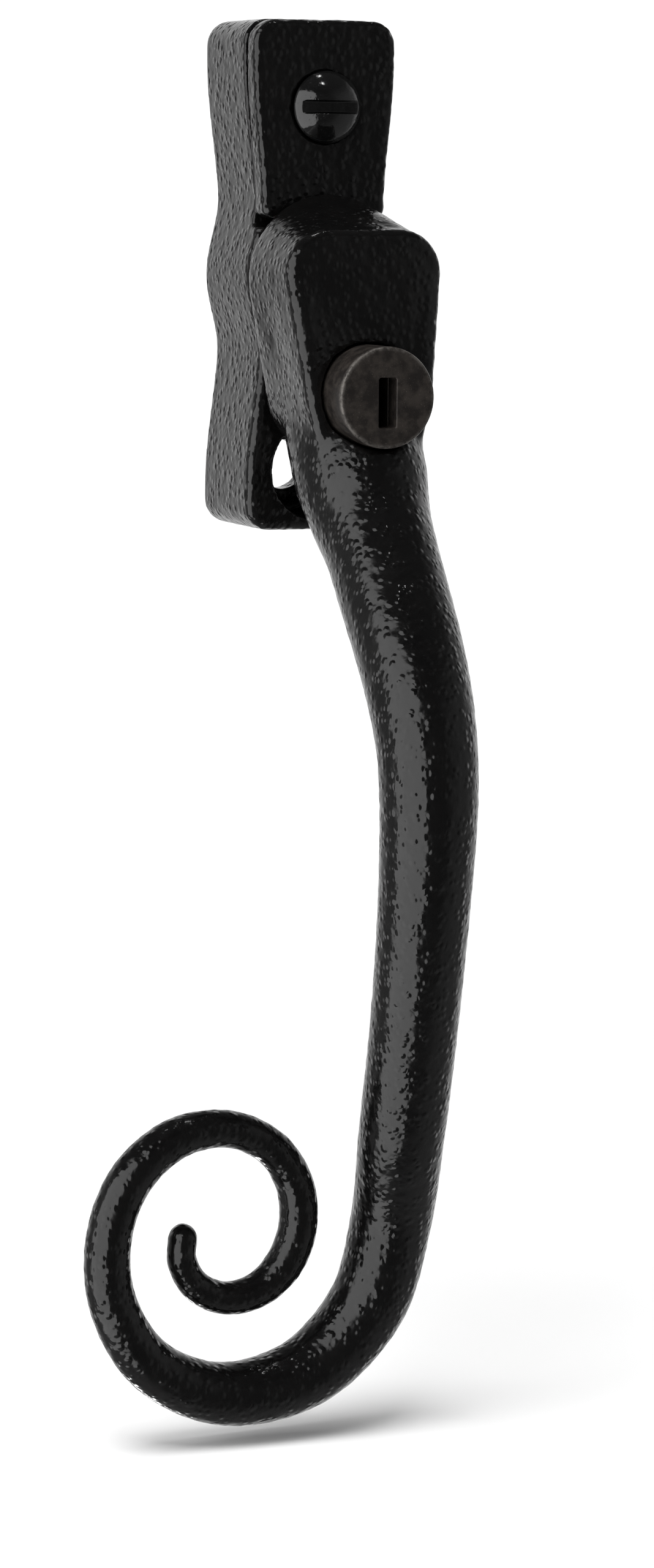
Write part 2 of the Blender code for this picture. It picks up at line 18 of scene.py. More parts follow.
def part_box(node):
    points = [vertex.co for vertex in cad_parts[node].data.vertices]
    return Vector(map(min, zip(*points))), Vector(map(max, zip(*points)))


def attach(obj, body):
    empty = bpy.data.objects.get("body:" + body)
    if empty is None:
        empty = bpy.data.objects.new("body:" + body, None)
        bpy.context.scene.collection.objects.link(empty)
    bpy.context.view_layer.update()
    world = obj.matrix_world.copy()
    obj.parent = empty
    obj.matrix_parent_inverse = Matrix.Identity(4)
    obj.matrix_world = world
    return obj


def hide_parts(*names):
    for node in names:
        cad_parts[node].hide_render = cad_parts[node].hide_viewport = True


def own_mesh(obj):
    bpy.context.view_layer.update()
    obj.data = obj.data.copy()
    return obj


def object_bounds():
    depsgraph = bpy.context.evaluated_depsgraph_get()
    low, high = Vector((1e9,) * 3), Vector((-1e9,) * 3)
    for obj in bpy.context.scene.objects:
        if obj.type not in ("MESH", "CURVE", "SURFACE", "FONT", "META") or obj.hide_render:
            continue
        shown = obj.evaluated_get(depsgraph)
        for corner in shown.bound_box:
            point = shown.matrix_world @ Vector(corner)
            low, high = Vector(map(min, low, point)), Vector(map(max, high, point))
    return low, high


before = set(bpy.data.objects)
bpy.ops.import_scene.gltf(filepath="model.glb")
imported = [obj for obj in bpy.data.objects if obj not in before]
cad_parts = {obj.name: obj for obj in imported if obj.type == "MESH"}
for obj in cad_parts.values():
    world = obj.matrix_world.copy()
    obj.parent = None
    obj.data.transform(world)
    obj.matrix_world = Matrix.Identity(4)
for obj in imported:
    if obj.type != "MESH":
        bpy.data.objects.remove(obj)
packed_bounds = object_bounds()
MM = 0.001
print("packed size in mm:", [round(1000 * (b - a), 2) for a, b in zip(*packed_bounds)])

# %% [markdown]
# ## Camera
#
# The handle is seen from its left and a little from above, through a long lens. A
# camera can be aimed with a constraint, but a rotation worked out once stays simple:
# look back along one direction, then add a slight roll.

# %% Camera
AIM = Vector((0.0042, -0.0080, -0.0605))
DISTANCE = 0.5455
AZIMUTH = math.radians(-22.50)
ELEVATION = math.radians(7.89)
ROLL = math.radians(0.51)

towards_camera = Vector((
    math.sin(AZIMUTH) * math.cos(ELEVATION),
    -math.cos(AZIMUTH) * math.cos(ELEVATION),
    math.sin(ELEVATION),
))
camera = bpy.data.objects.new("camera", bpy.data.cameras.new("camera"))
camera.data.lens = 102.05
camera.data.sensor_width = 36.0
camera.data.clip_start = 0.01
camera.data.clip_end = 20.0
camera.location = AIM + towards_camera * DISTANCE
camera.rotation_mode = "QUATERNION"
upright = (-towards_camera).to_track_quat("-Z", "Y")
camera.rotation_quaternion = upright @ Quaternion((0.0, 0.0, 1.0), ROLL)
bpy.context.scene.collection.objects.link(camera)
bpy.context.scene.camera = camera
print("camera at", [round(c, 4) for c in camera.location])

# %% [markdown]
# ## Studio
#
# Glossy black shows its surroundings and almost nothing of its own colour. A product
# photographer puts one large soft light on the left, leaves the room in front dark,
# and keeps the backdrop white. The world here does the same by direction: bright
# behind the handle, dim in front of it and overhead, so the front faces stay black
# while the flanks pick up a soft grey. The floor is white paper that fades into the
# backdrop, so it takes the shadow and shows no horizon.

# %% Floor
FLOOR_GAP = 0.0020
FLOOR_RADIUS = 0.4
FADE_START = 0.14
FADE_END = 0.36
floor_height = packed_bounds[0].z - FLOOR_GAP
floor_mesh = bmesh.new()
bmesh.ops.create_circle(floor_mesh, cap_ends=True, segments=96, radius=FLOOR_RADIUS)
floor_data = bpy.data.meshes.new("floor")
floor_mesh.to_mesh(floor_data)
floor_mesh.free()
floor = bpy.data.objects.new("floor", floor_data)
floor.location = (0.0, 0.0, floor_height)
floor.visible_glossy = False
floor.visible_shadow = False
bpy.context.scene.collection.objects.link(floor)
print("floor height in mm:", round(1000 * floor_height, 2))

# %% White paper that fades out
paper = bpy.data.materials.new("white_paper")
paper.use_nodes = True
paper_shader = paper.node_tree.nodes["Principled BSDF"]
paper_shader.inputs["Base Color"].default_value = (0.86, 0.86, 0.86, 1.0)
paper_shader.inputs["Roughness"].default_value = 0.9
paper_shader.inputs["Specular IOR Level"].default_value = 0.1
paper_nodes = paper.node_tree.nodes
paper_links = paper.node_tree.links
paper_place = paper_nodes.new("ShaderNodeTexCoord")
paper_reach = paper_nodes.new("ShaderNodeVectorMath")
paper_reach.operation = "LENGTH"
paper_links.new(paper_place.outputs["Object"], paper_reach.inputs[0])
paper_fade = paper_nodes.new("ShaderNodeMapRange")
paper_fade.interpolation_type = "SMOOTHSTEP"
paper_fade.inputs["From Min"].default_value = FADE_START
paper_fade.inputs["From Max"].default_value = FADE_END
paper_links.new(paper_reach.outputs["Value"], paper_fade.inputs["Value"])
see_through = paper_nodes.new("ShaderNodeBsdfTransparent")
paper_blend = paper_nodes.new("ShaderNodeMixShader")
paper_links.new(paper_fade.outputs["Result"], paper_blend.inputs["Fac"])
paper_links.new(paper_shader.outputs["BSDF"], paper_blend.inputs[1])
paper_links.new(see_through.outputs["BSDF"], paper_blend.inputs[2])
paper_links.new(paper_blend.outputs["Shader"], paper_nodes["Material Output"].inputs["Surface"])
floor_data.materials.append(paper)
print("paper fades from", FADE_START, "to", FADE_END, "m")

# %% World that is bright behind and dim in front
BACKDROP_LIGHT = 1.0
FRONT_LIGHT = 0.07
SIDE_LIGHT = 0.26
ROOM_MARKS = [(0.13, FRONT_LIGHT), (0.26, 0.20), (0.42, SIDE_LIGHT), (0.68, SIDE_LIGHT), (0.84, 0.78)]

world = bpy.data.worlds.new("studio")
bpy.context.scene.world = world
world.use_nodes = True
nodes = world.node_tree.nodes
links = world.node_tree.links
nodes.clear()
direction = nodes.new("ShaderNodeTexCoord")
facing = nodes.new("ShaderNodeVectorMath")
facing.operation = "DOT_PRODUCT"
facing.inputs[1].default_value = (-towards_camera.x, -towards_camera.y, 0.0)
links.new(direction.outputs["Generated"], facing.inputs[0])
room = nodes.new("ShaderNodeValToRGB")
room.color_ramp.elements[0].position = 0.0
room.color_ramp.elements[0].color = (FRONT_LIGHT,) * 3 + (1.0,)
for position, level in ROOM_MARKS:
    mark = room.color_ramp.elements.new(position)
    mark.color = (level,) * 3 + (1.0,)
room.color_ramp.elements[-1].color = (BACKDROP_LIGHT,) * 3 + (1.0,)
to_unit = nodes.new("ShaderNodeMapRange")
to_unit.inputs["From Min"].default_value = -1.0
to_unit.inputs["From Max"].default_value = 1.0
links.new(facing.outputs["Value"], to_unit.inputs["Value"])
links.new(to_unit.outputs["Result"], room.inputs["Fac"])
dim_room = nodes.new("ShaderNodeBackground")
links.new(room.outputs["Color"], dim_room.inputs["Color"])
white_backdrop = nodes.new("ShaderNodeBackground")
white_backdrop.inputs["Color"].default_value = (1.0, 1.0, 1.0, 1.0)
white_backdrop.inputs["Strength"].default_value = 1.1
split_direction = nodes.new("ShaderNodeSeparateXYZ")
links.new(direction.outputs["Generated"], split_direction.inputs["Vector"])
dark_ceiling = nodes.new("ShaderNodeMapRange")
dark_ceiling.interpolation_type = "SMOOTHSTEP"
dark_ceiling.inputs["From Min"].default_value = 0.30
dark_ceiling.inputs["From Max"].default_value = 0.75
dark_ceiling.inputs["To Min"].default_value = 1.0
dark_ceiling.inputs["To Max"].default_value = 0.25
links.new(split_direction.outputs["Z"], dark_ceiling.inputs["Value"])
links.new(dark_ceiling.outputs["Result"], dim_room.inputs["Strength"])
ray = nodes.new("ShaderNodeLightPath")
choose = nodes.new("ShaderNodeMixShader")
links.new(ray.outputs["Is Camera Ray"], choose.inputs["Fac"])
links.new(dim_room.outputs["Background"], choose.inputs[1])
links.new(white_backdrop.outputs["Background"], choose.inputs[2])
world_out = nodes.new("ShaderNodeOutputWorld")
links.new(choose.outputs["Shader"], world_out.inputs["Surface"])
bpy.context.scene.view_settings.view_transform = "Standard"
print("room levels from front to back:", [FRONT_LIGHT, SIDE_LIGHT, BACKDROP_LIGHT])

# %% [markdown]
# ## Lamps
#
# The left softbox draws the long highlight down the grip. Two small lamps put small
# glints on upper and lower edges, and one more glint belongs to the screw's dome alone:
# light linking keeps that lamp off the neck, where it would draw a white streak. The
# lights that only brighten the floor and shape the shadow are hidden from reflections.


# %% Softboxes
def softbox(name, turn, height, distance, width, tall, brightness):
    """Area light at a turn from the camera's side, aimed at the handle's middle."""
    angle = AZIMUTH + math.radians(turn)
    place = Vector((math.sin(angle), -math.cos(angle), 0.0)) * distance
    place += Vector((0.0, -0.02, -0.05 + height))
    lamp = bpy.data.lights.new(name, "AREA")
    lamp.shape = "RECTANGLE"
    lamp.size = width
    lamp.size_y = tall
    lamp.energy = brightness * math.pi * width * tall
    holder = bpy.data.objects.new(name, lamp)
    holder.location = place
    aim = Vector((0.0, -0.02, -0.05)) - place
    holder.rotation_mode = "QUATERNION"
    holder.rotation_quaternion = aim.to_track_quat("-Z", "Y")
    holder.visible_camera = False
    bpy.context.scene.collection.objects.link(holder)
    return holder


softbox("left_softbox", -44.0, -0.05, 0.90, 1.35, 1.90, 1.9)
softbox("top_lamp", 23.5, 1.00, 0.03, 0.10, 0.10, 14.0)
softbox("low_rear_lamp", -155.0, -0.72, 0.70, 0.16, 0.16, 7.0)
screw_lamp = softbox("screw_lamp", 23.5, 0.91, 0.42, 0.10, 0.10, 18.0)
lit_by_screw_lamp = bpy.data.collections.new("lit_by_screw_lamp")
screw_lamp.light_linking.receiver_collection = lit_by_screw_lamp
floor_lights = [
    softbox("overhead_softbox", -160.0, 1.60, 0.20, 1.20, 1.20, 2.2),
    softbox("shadow_light", -22.0, 0.92, 0.44, 0.60, 0.60, 10.0),
]
for lamp in floor_lights:
    lamp.visible_glossy = False

# %% [markdown]
# ## Mesh helpers
#
# Almost every piece is a stack of rings: a lathe-turned part has round rings, a plate
# has rings in the shape of its outline. Skinning the rings with quads and closing
# both ends makes a watertight solid, ready for booleans.


# %% Rings to solids
def solid_from_rings(name, rings):
    """Skin rings of equal length, given in millimetres, and close both ends."""
    shell = bmesh.new()
    rows = [[shell.verts.new(Vector(point) * MM) for point in ring] for ring in rings]
    count = len(rows[0])
    for low, high in zip(rows, rows[1:]):
        for i in range(count):
            j = (i + 1) % count
            shell.faces.new((low[i], low[j], high[j], high[i]))
    shell.faces.new(rows[0])
    shell.faces.new(rows[-1])
    bmesh.ops.recalc_face_normals(shell, faces=shell.faces)
    mesh = bpy.data.meshes.new(name)
    shell.to_mesh(mesh)
    shell.free()
    piece = bpy.data.objects.new(name, mesh)
    bpy.context.scene.collection.objects.link(piece)
    return piece


def round_ring(radius, x=0.0, z=0.0, sides=96):
    """Points of a circle about (x, z)."""
    turn = 2.0 * math.pi / sides
    return [(x + radius * math.cos(i * turn), z + radius * math.sin(i * turn)) for i in range(sides)]


def standing(outline, y):
    """Put an (x, z) outline in the plane at y."""
    return [(x, y, z) for x, z in outline]


def turned(name, profile, x=0.0, z=0.0, sides=96):
    """Lathe-turned solid about an axis along Y: the profile lists (radius, y)."""
    return solid_from_rings(name, [standing(round_ring(r, x, z, sides), y) for r, y in profile])


def turned_across(name, profile, y, z, sides=32):
    """Lathe-turned solid about an axis along X: the profile lists (radius, x)."""
    rings = []
    for radius, x in profile:
        rings.append([(x, y + a, z + b) for a, b in round_ring(radius, sides=sides)])
    return solid_from_rings(name, rings)


def block(name, outline, y0, y1):
    """Straight solid with an (x, z) outline from y0 to y1."""
    return solid_from_rings(name, [standing(outline, y0), standing(outline, y1)])


def quarter(radius, y_face, way, steps=6):
    """(shrink, y) pairs of a rounded edge that ends on the plane y_face."""
    pairs = []
    for i in range(steps + 1):
        angle = 0.5 * math.pi * i / steps
        shrink = radius * (1.0 - math.cos(angle))
        pairs.append((shrink, y_face + way * radius * (1.0 - math.sin(angle))))
    return pairs


# %% Booleans, then one skin
def combine(target, tool, operation):
    """Add an exact boolean that takes the tool away from, or fuses it with, the target."""
    step = target.modifiers.new(tool.name, "BOOLEAN")
    step.operation = operation
    step.solver = "EXACT"
    step.object = tool
    tool.hide_render = True
    tool.hide_viewport = False


def bake_shape(target):
    """Replace the target's mesh by the result of its modifiers and drop its tools."""
    tools = [m.object for m in target.modifiers if m.type == "BOOLEAN"]
    graph = bpy.context.evaluated_depsgraph_get()
    finished = bpy.data.meshes.new_from_object(target.evaluated_get(graph))
    target.modifiers.clear()
    target.data = finished
    for tool in tools:
        bpy.data.objects.remove(tool, do_unlink=True)
    return target


def one_skin(target, grain_mm, rounds):
    """Melt the target into one even skin of small quads, so every edge gets a coated radius."""
    skin = target.modifiers.new("skin", "REMESH")
    skin.mode = "VOXEL"
    skin.voxel_size = grain_mm * MM
    skin.use_smooth_shade = True
    soften = target.modifiers.new("soften", "SMOOTH")
    soften.factor = 0.5
    soften.iterations = rounds
    bake_shape(target)
    target.data.shade_smooth()
    print(target.name, "has", len(target.data.polygons), "quads")
    return target


def corner_positions(mesh):
    """All vertex positions of a mesh as an array."""
    flat = np.zeros(3 * len(mesh.vertices))
    mesh.vertices.foreach_get("co", flat)
    return flat.reshape(-1, 3)


def corner_normals(mesh):
    """All vertex normals of a mesh as an array."""
    flat = np.zeros(3 * len(mesh.vertices), np.float32)
    mesh.vertex_normals.foreach_get("vector", flat)
    return flat.reshape(-1, 3).astype(float)


# %% [markdown]
# ## The hammered coat, as relief
#
# A hammered powder coat pulls itself into soft ripples about a millimetre apart while
# it melts in the oven. A bump map alone leaves the outline perfectly smooth, so the
# larger ripples are pushed into the mesh here, and only the finer grain is left to
# the material.


# %% Ripple the surface
def hammer(target, spacing_mm, depth_mm, calm=None):
    """Push vertices in and out along their normals by two layers of soft noise."""
    mesh = target.data
    places = corner_positions(mesh)
    normals = corner_normals(mesh)
    wide = 1.0 / (spacing_mm * MM)
    push = np.zeros(len(places))
    for i, place in enumerate(places):
        here = Vector(place)
        push[i] = 0.65 * noise.noise(here * wide) + 0.35 * noise.noise(here * wide * 1.9)
    if calm is not None:
        push *= calm(places)
    places += normals * (push * depth_mm * MM)[:, None]
    mesh.vertices.foreach_set("co", places.astype(np.float32).ravel())
    mesh.update()
    print(target.name, "ripples within", round(float(np.abs(push).max() * depth_mm), 3), "mm")


# %% [markdown]
# ## Finishes
#
# The black coat is dark enough that its colour hardly matters: its gloss and its small
# raised beads make it read as powder coat. Noise gives the soft ripples, and a Voronoi
# texture gives one rounded bead to each cell. Bump nodes are chained from coarse to
# fine. Coordinates are Object coordinates in metres, so a texture's scale is simply
# one divided by the size of a grain.


# %% Node shortcuts
def fresh_material(name, colour, metallic, roughness):
    """Principled material with constant values on its own sockets."""
    material = bpy.data.materials.new(name)
    material.use_nodes = True
    shader = material.node_tree.nodes["Principled BSDF"]
    shader.inputs["Base Color"].default_value = (*colour, 1.0)
    shader.inputs["Metallic"].default_value = metallic
    shader.inputs["Roughness"].default_value = roughness
    where = material.node_tree.nodes.new("ShaderNodeTexCoord")
    return material, shader, where


def noise_layer(material, where, grain_mm, detail=2.0, roughness=0.5, stretch=None):
    """Noise whose grains are grain_mm across; stretch scales the axes first."""
    tree = material.node_tree
    texture = tree.nodes.new("ShaderNodeTexNoise")
    texture.inputs["Scale"].default_value = 1.0 / (grain_mm * MM)
    texture.inputs["Detail"].default_value = detail
    texture.inputs["Roughness"].default_value = roughness
    if stretch is None:
        tree.links.new(where.outputs["Object"], texture.inputs["Vector"])
    else:
        mapping = tree.nodes.new("ShaderNodeMapping")
        mapping.inputs["Scale"].default_value = stretch
        tree.links.new(where.outputs["Object"], mapping.inputs["Vector"])
        tree.links.new(mapping.outputs["Vector"], texture.inputs["Vector"])
    return texture.outputs["Fac"]


def ranged(material, value, low, high, out_low, out_high):
    """Map a value between two limits to two others, smoothly."""
    tree = material.node_tree
    node = tree.nodes.new("ShaderNodeMapRange")
    node.interpolation_type = "SMOOTHSTEP"
    node.inputs["From Min"].default_value = low
    node.inputs["From Max"].default_value = high
    node.inputs["To Min"].default_value = out_low
    node.inputs["To Max"].default_value = out_high
    tree.links.new(value, node.inputs["Value"])
    return node.outputs["Result"]


def colour_between(material, value, dark, light):
    """Blend two colours by a value from 0 to 1."""
    tree = material.node_tree
    mix = tree.nodes.new("ShaderNodeMix")
    mix.data_type = "RGBA"
    mix.inputs["A"].default_value = (*dark, 1.0)
    mix.inputs["B"].default_value = (*light, 1.0)
    tree.links.new(value, mix.inputs["Factor"])
    return mix.outputs["Result"]


def bumped(material, height, depth_mm, under=None):
    """Bump layer of a real depth, on top of another one if there is one."""
    tree = material.node_tree
    bump = tree.nodes.new("ShaderNodeBump")
    bump.inputs["Strength"].default_value = 1.0
    bump.inputs["Distance"].default_value = depth_mm * MM
    tree.links.new(height, bump.inputs["Height"])
    if under is not None:
        tree.links.new(under, bump.inputs["Normal"])
    return bump.outputs["Normal"]


# %% Hammered black powder coat
def hammered_black(name, grain_mm, depth_mm, bead_mm, bead_depth_mm, gloss):
    """Glossy black coat: rounded ripples, raised beads, and a trace of fine haze."""
    material, shader, where = fresh_material(name, (0.002, 0.002, 0.0021), 0.0, gloss)
    tree = material.node_tree
    shader.inputs["IOR"].default_value = 1.5
    ripple = noise_layer(material, where, grain_mm, 1.5, 0.45)
    cells = tree.nodes.new("ShaderNodeTexVoronoi")
    cells.inputs["Scale"].default_value = 1.0 / (bead_mm * MM)
    tree.links.new(where.outputs["Object"], cells.inputs["Vector"])
    beads = ranged(material, cells.outputs["Distance"], 0.0, 0.56, 1.0, 0.0)
    haze = noise_layer(material, where, 2.6, 3.0, 0.6)
    normal = bumped(material, ripple, depth_mm)
    normal = bumped(material, beads, bead_depth_mm, normal)
    tree.links.new(normal, shader.inputs["Normal"])
    tree.links.new(ranged(material, haze, 0.3, 0.7, gloss - 0.03, gloss + 0.05), shader.inputs["Roughness"])
    tint = colour_between(material, haze, (0.0014, 0.0014, 0.0015), (0.0032, 0.003, 0.0029))
    tree.links.new(tint, shader.inputs["Base Color"])
    return material


plate_coat = hammered_black("hammered_black_plates", 0.95, 0.070, 1.00, 0.100, 0.17)
lever_coat = hammered_black("hammered_black_lever", 0.95, 0.060, 0.95, 0.085, 0.16)
print("coats:", plate_coat.name, lever_coat.name)

# %% [markdown]
# ## Base plate
#
# The base is a thick plate with a waist: wide where the lever turns, narrow above and
# below, and wide again at its ends. Half of the outline is one smooth width function
# of the height, which is mirrored. The same function shapes the cover plate.

# %% Outline of the plates
CENTRE_Z = 1.6
BELLY_HALF = 9.1
WAIST_HALF = 7.6
END_HALF = 9.15
WAIST_FROM_CENTRE = 9.4
FLARE_FROM_CENTRE = 26.0


def half_width(z, fuller=0.0):
    """Half width of the plates at height z; fuller fills their waist out."""
    waist = WAIST_HALF + fuller
    away = abs(z - CENTRE_Z)
    if away < WAIST_FROM_CENTRE:
        share = 0.5 + 0.5 * math.cos(math.pi * away / WAIST_FROM_CENTRE)
        return waist + (BELLY_HALF - waist) * share
    t = min((away - WAIST_FROM_CENTRE) / (FLARE_FROM_CENTRE - WAIST_FROM_CENTRE), 1.0)
    share = 0.5 * math.sin(math.pi * t / 2.0) + 0.25 * (1.0 - math.cos(math.pi * t))
    return waist + (END_HALF - waist) * share


def corner(x, z, radius, start, steps=12):
    """Quarter circle that begins at the angle start, in degrees."""
    angles = [math.radians(start + 90.0 * i / steps) for i in range(steps + 1)]
    return [(x + radius * math.cos(a), z + radius * math.sin(a)) for a in angles]


def plate_outline(bottom, top, low_radius, high_radius, shrink=0.0, fuller=0.0, steps=90):
    """Counter-clockwise outline of a waisted plate between two heights."""
    low = bottom + low_radius
    high = top - high_radius
    heights = [low + (high - low) * i / steps for i in range(1, steps)]
    right = [(half_width(z, fuller) - shrink, z) for z in heights]
    low_x = half_width(low, fuller) - shrink - low_radius
    high_x = half_width(high, fuller) - shrink - high_radius
    points = corner(low_x, low, low_radius, -90.0) + right
    points += corner(high_x, high, high_radius, 0.0)
    points += corner(-high_x, high, high_radius, 90.0)
    points += [(-x, z) for x, z in reversed(right)]
    points += corner(-low_x, low, low_radius, 180.0)
    return points


def shrunk(outline, amount):
    """Move each point of a counter-clockwise outline inwards."""
    moved = []
    count = len(outline)
    for i, (x, z) in enumerate(outline):
        before = outline[i - 1]
        after = outline[(i + 1) % count]
        along = Vector((after[0] - before[0], after[1] - before[1])).normalized()
        moved.append((x - along.y * amount, z + along.x * amount))
    return moved


def rounded_plate(name, outline, rear, front, rear_radius, front_radius):
    """Plate with both of its edges rounded."""
    rings = []
    for shrink, y in reversed(quarter(rear_radius, rear, -1.0)):
        rings.append(standing(shrunk(outline, shrink), y))
    for shrink, y in quarter(front_radius, front, 1.0, 8):
        rings.append(standing(shrunk(outline, shrink), y))
    return solid_from_rings(name, rings)


# %% Base plate
FIXING_Z = 21.5
LOCK_Z = 1000 * 0.5 * (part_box("lock_plunger")[0].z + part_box("lock_plunger")[1].z)
base_low, base_high = (1000 * corner_point for corner_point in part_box("base_plate"))
base_shape = plate_outline(base_low.z, base_high.z, 3.0, 3.0)
base = rounded_plate("base_casting", base_shape, base_high.y, base_low.y, 0.35, 0.9)

HUB_PAD = 8.0
STEP_Z = 7.4
RECESS_Y = -12.8
pad_angle = math.asin(STEP_Z / HUB_PAD)
pad_arc = []
for i in range(37):
    angle = math.pi - pad_angle - (math.pi - 2.0 * pad_angle) * i / 36
    pad_arc.append((HUB_PAD * math.cos(angle), HUB_PAD * math.sin(angle)))
step_outline = [(-14.0, STEP_Z)] + pad_arc + [(14.0, STEP_Z), (14.0, 40.0), (-14.0, 40.0)]


def bulged_box(half_x, half_z, radius, steps=20):
    """Rectangle whose long sides bulge out along a circle."""
    limit = math.acos(half_x / radius)
    swing = [-limit + 2.0 * limit * i / steps for i in range(steps + 1)]
    right = [(radius * math.cos(a), radius * math.sin(a)) for a in swing]
    left = [(-x, -z) for x, z in right]
    return [(half_x, -half_z)] + right + [(half_x, half_z), (-half_x, half_z)] + left + [(-half_x, -half_z)]


base_cuts = [
    block("step_for_cover", step_outline, -20.0, RECESS_Y),
    block("mechanism_room", bulged_box(6.05, 6.9, 7.4), -8.8, 5.0),
    turned("hub_bore", [(7.4, -20.0), (7.4, -7.8)]),
    block("rear_cover_seat", bulged_box(6.5, 10.2, 7.9), -1.8, 5.0),
    turned("upper_hole", [(2.9, -20.0), (2.9, 5.0)], z=FIXING_Z),
    turned("lower_pocket", [(5.95, -20.0), (5.95, -3.1), (3.0, -3.1), (3.0, 5.0)], z=-FIXING_Z),
    turned("bolt_socket", [(2.5, -20.0), (2.5, -12.0)], z=LOCK_Z, sides=48),
    turned("rivet_hole_up", [(1.2, -5.3), (1.2, 5.0)], z=8.4, sides=32),
    turned("rivet_hole_low", [(1.2, -5.3), (1.2, 5.0)], z=-8.4, sides=32),
]
for cut in base_cuts:
    combine(base, cut, "DIFFERENCE")
one_skin(base, 0.27, 3)


def calm_at_the_back(places):
    """Less ripple near the flat back, where the plate lies on the window."""
    return np.clip((-places[:, 1] - 0.0006) / 0.0012, 0.0, 1.0)


hammer(base, 1.15, 0.075, calm_at_the_back)
base.data.materials.append(plate_coat)
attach(base, "base")
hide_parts("base_plate")

# %% [markdown]
# ## Cover plate
#
# The cover follows the base's outline a little inside it, with its own waist filled
# out, and it ends just above the lever. Its front edge is well rounded: that radius is
# what draws the thin bright line along the plate's left side.

# %% Cover plate
cover_low, cover_high = (1000 * corner_point for corner_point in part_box("cover_plate"))
cover_shape = plate_outline(cover_low.z, cover_high.z, 1.4, 2.85, 0.15, 0.35)
cover = rounded_plate("cover_casting", cover_shape, cover_high.y, cover_low.y, 0.45, 0.75)
sink = [(4.38, -20.0), (4.38, cover_low.y), (2.95, cover_low.y + 1.5), (2.95, 5.0)]
combine(cover, turned("countersink", sink, z=FIXING_Z), "DIFFERENCE")
one_skin(cover, 0.17, 3)
hammer(cover, 1.05, 0.075)
cover.data.materials.append(plate_coat)
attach(cover, "base")
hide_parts("cover_plate")

# %% [markdown]
# ## Fixing screw
#
# A raised countersunk screw with a plain slot, dipped in smooth gloss black. The dome
# is an arc on the lathe profile and the slot is one straight cut. Behind the head the
# shank carries a real helical thread, which shows from the side and the back.

# %% Dome screw
HEAD_RADIUS = 4.25
DOME_HEIGHT = 2.2
screw_low, screw_high = (1000 * corner_point for corner_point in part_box("upper_fixing_screw"))
rim_front = screw_low.y + DOME_HEIGHT
rim_rear = rim_front + 0.4
ball = (HEAD_RADIUS ** 2 + DOME_HEIGHT ** 2) / (2.0 * DOME_HEIGHT)
reach = math.asin(HEAD_RADIUS / ball)
dome_profile = [(0.6, rim_rear + 3.2), (2.0, rim_rear + 3.2), (2.4, rim_rear + 1.6), (3.9, rim_rear + 0.05)]
dome_profile += [(HEAD_RADIUS - 0.06, rim_rear), (HEAD_RADIUS, rim_rear - 0.08)]
dome_profile += [(HEAD_RADIUS, rim_front + 0.08)]
for i in range(1, 25):
    angle = reach * (1.0 - i / 24.6)
    dome_profile.append((ball * math.sin(angle), rim_front - ball * (math.cos(angle) - math.cos(reach))))
screw_head = turned("screw_head", dome_profile, z=FIXING_Z)
SLOT_HALF = 0.75
slot_floor = screw_low.y + 1.4
slot_shape = [(-6.0, FIXING_Z - SLOT_HALF), (6.0, FIXING_Z - SLOT_HALF)]
slot_shape += [(6.0, FIXING_Z + SLOT_HALF), (-6.0, FIXING_Z + SLOT_HALF)]
combine(screw_head, block("slot_cutter", slot_shape, slot_floor, -28.0), "DIFFERENCE")
one_skin(screw_head, 0.11, 3)

# %% Threaded shank
THREAD_PITCH = 0.8
thread_start = rim_rear + 2.8
thread_end = screw_high.y
thread_rings = []
step_count = int((thread_end - thread_start) / 0.1)
for i in range(step_count + 1):
    y = thread_start + (thread_end - thread_start) * i / step_count
    taper = min(1.0, (thread_end - y) / 1.2 + 0.55)
    ring = []
    for k in range(40):
        angle = 2.0 * math.pi * k / 40
        phase = (y / THREAD_PITCH - k / 40.0) % 1.0
        crest = 1.0 - abs(2.0 * phase - 1.0)
        radius = (2.02 + 0.40 * min(crest * 1.25, 1.0)) * taper
        ring.append((radius * math.cos(angle), y, FIXING_Z + radius * math.sin(angle)))
    thread_rings.append(ring)
screw_shank = solid_from_rings("screw_shank", thread_rings)
screw_shank.data.shade_smooth()

gloss_black, gloss_shader, gloss_where = fresh_material("gloss_black_screw", (0.003, 0.003, 0.003), 0.0, 0.10)
gloss_shader.inputs["Coat Weight"].default_value = 0.3
gloss_shader.inputs["Coat Roughness"].default_value = 0.04
runs = noise_layer(gloss_black, gloss_where, 1.3, 2.0)
specks = ranged(gloss_black, noise_layer(gloss_black, gloss_where, 0.35, 1.0), 0.66, 0.74, 0.0, 1.0)
gloss_normal = bumped(gloss_black, runs, 0.07)
gloss_normal = bumped(gloss_black, specks, 0.012, gloss_normal)
gloss_black.node_tree.links.new(gloss_normal, gloss_shader.inputs["Normal"])
screw_head.data.materials.append(gloss_black)
screw_shank.data.materials.append(gloss_black)
for part in (screw_head, screw_shank):
    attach(part, "base")
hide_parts("upper_fixing_screw")
lit_by_screw_lamp.objects.link(screw_head)
print("screw head is", round(2 * HEAD_RADIUS, 2), "mm across, slot", 2 * SLOT_HALF, "mm wide")

# %% [markdown]
# ## Lever head
#
# The head is round where it turns on the base and squarer at its front face. Each
# ring is the hull of a few circles: for every direction, the circle that reaches
# furthest gives the point. Blending the rear hull into the front hull makes the
# smooth, cast side of the head.

# %% Head rings
HEAD_REAR_Y = -16.4
HEAD_FRONT_Y = -31.0
REAR_HULL = [(0.0, 1.2, 10.1), (0.0, LOCK_Z, 7.7)]
FRONT_HULL = [
    (-4.6, 3.9, 3.3), (4.6, 3.9, 3.3), (-4.6, 2.2, 5.2), (4.6, 2.2, 5.2),
    (-2.6, LOCK_Z, 5.4), (2.6, LOCK_Z, 5.4), (0.0, -14.5, 7.2),
]


